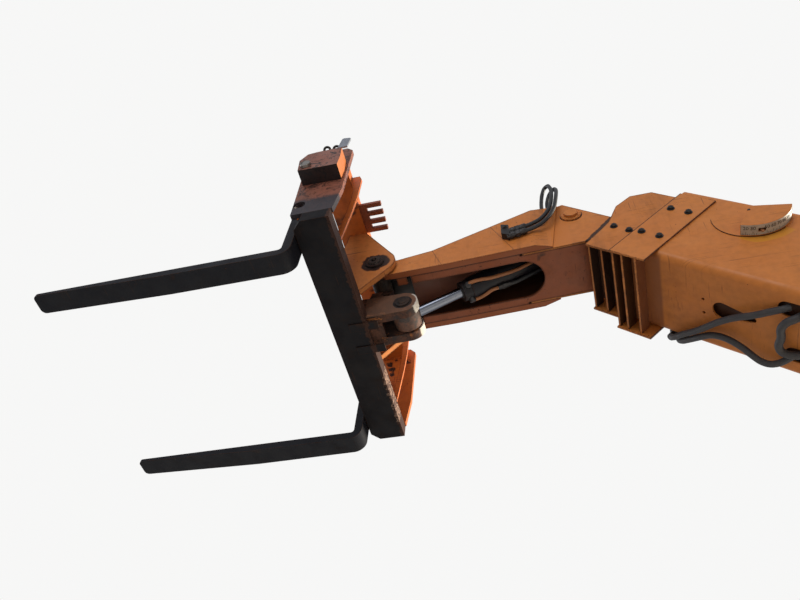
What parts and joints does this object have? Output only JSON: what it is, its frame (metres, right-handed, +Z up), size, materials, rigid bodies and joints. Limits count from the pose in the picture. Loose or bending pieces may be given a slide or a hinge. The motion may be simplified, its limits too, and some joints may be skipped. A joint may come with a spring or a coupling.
{
  "type": "telehandler boom with fork carriage",
  "caption": "Raised telescopic loader boom with nested box sections, gooseneck head, tilt cylinder and a carriage with two pallet forks.",
  "frame": {"origin": "centre of the rear pivot bore, in the middle of the boom's width", "axes": "+X forward, towards the forks' tips; +Y to the machine's left; +Z up, with the boom raised 43 degrees and the forks level"},
  "size_m": [6.2461, 1.436, 3.7396],
  "materials": {
    "orange_paint": "weathered satin paint",
    "rusty_steel": "worn paint over rust",
    "dark_paint": "worn black paint",
    "bare_steel": "dull greasy steel",
    "chrome_rod": "polished",
    "bare_pointer": "matt dark paint",
    "hose_rubber": "dusty black rubber",
    "fitting_steel": "oily zinc plate",
    "pad_plastic": "cast nylon"
  },
  "bodies": {
    "base_boom": {"base_section": "orange_paint", "base_collar": "orange_paint", "base_pads": "pad_plastic", "rear_pivot": "orange_paint", "rear_cheeks": "orange_paint", "lift_lugs": "orange_paint", "levelling_lugs": "orange_paint", "dial_back": "orange_paint", "dial_cover": "orange_paint", "dial_pointer": "bare_pointer", "boom_hoses": "hose_rubber", "hose_ports": "fitting_steel"},
    "mid_boom": {"mid_section": "orange_paint", "mid_collar": "orange_paint", "mid_pads": "pad_plastic"},
    "inner_boom": {"inner_section": "orange_paint", "head_left_side": "orange_paint", "head_right_side": "orange_paint", "head_floor": "orange_paint", "head_roof": "orange_paint", "nose_bush": "rusty_steel", "cylinder_pin": "rusty_steel", "hose_couplings": "fitting_steel", "hose_loop": "hose_rubber"},
    "tilt_barrel": {"tilt_barrel": "dark_paint"},
    "tilt_rod": {"tilt_rod": "chrome_rod", "eye_pin": "bare_steel"},
    "carriage": {"bottom_bar": "dark_paint", "upper_beam": "orange_paint", "left_end_plate": "orange_paint", "right_end_plate": "orange_paint", "shaft_keeper": "rusty_steel", "fork_shaft": "bare_steel", "rear_straps": "orange_paint", "left_pivot_plate": "orange_paint", "right_pivot_plate": "orange_paint", "pivot_pin": "bare_steel", "hitch_web": "orange_paint", "ear_web": "orange_paint", "rod_ears": "rusty_steel", "rod_pin_ends": "bare_steel", "comb_bracket": "orange_paint", "keeper_rings": "rusty_steel", "top_tab": "bare_steel"},
    "left_fork": {"left_fork": "dark_paint"},
    "right_fork": {"right_fork": "dark_paint"}
  },
  "joints": [
    {"name": "mid_extend", "type": "slide", "parent": "base_boom", "child": "mid_boom", "axis": [0.7328, 0, 0.6805], "range_m": [0, 2.9]},
    {"name": "inner_extend", "type": "slide", "parent": "mid_boom", "child": "inner_boom", "axis": [0.7328, 0, 0.6805], "range_m": [0, 2.9]},
    {"name": "carriage_tilt", "type": "hinge", "parent": "inner_boom", "child": "carriage", "pos_m": [4.34829, 0, 3.03346], "axis": [0, -1, 0], "range_deg": [-50, 70]},
    {"name": "tilt_barrel_swing", "type": "hinge", "parent": "inner_boom", "child": "tilt_barrel", "pos_m": [3.39329, 0, 3.26546], "axis": [0, -1, 0], "range_deg": [-1, 1.4]},
    {"name": "tilt_rod_slide", "type": "slide", "parent": "tilt_barrel", "child": "tilt_rod", "axis": [0.8925, 0, -0.4511], "range_m": [-0.166, 0.2325]},
    {"name": "left_fork_slide", "type": "slide", "parent": "carriage", "child": "left_fork", "axis": [0, 1, 0], "range_m": [-0.25, 0.034]},
    {"name": "right_fork_slide", "type": "slide", "parent": "carriage", "child": "right_fork", "axis": [0, -1, 0], "range_m": [-0.25, 0.034]}
  ],
  "couplings": [
    {"joint": "inner_extend", "follows": "mid_extend", "ratio": 1},
    {"joint": "tilt_barrel_swing", "follows": "carriage_tilt", "ratio": 0.02},
    {"joint": "tilt_rod_slide", "follows": "carriage_tilt", "m_per_rad": 0.19}
  ]
}
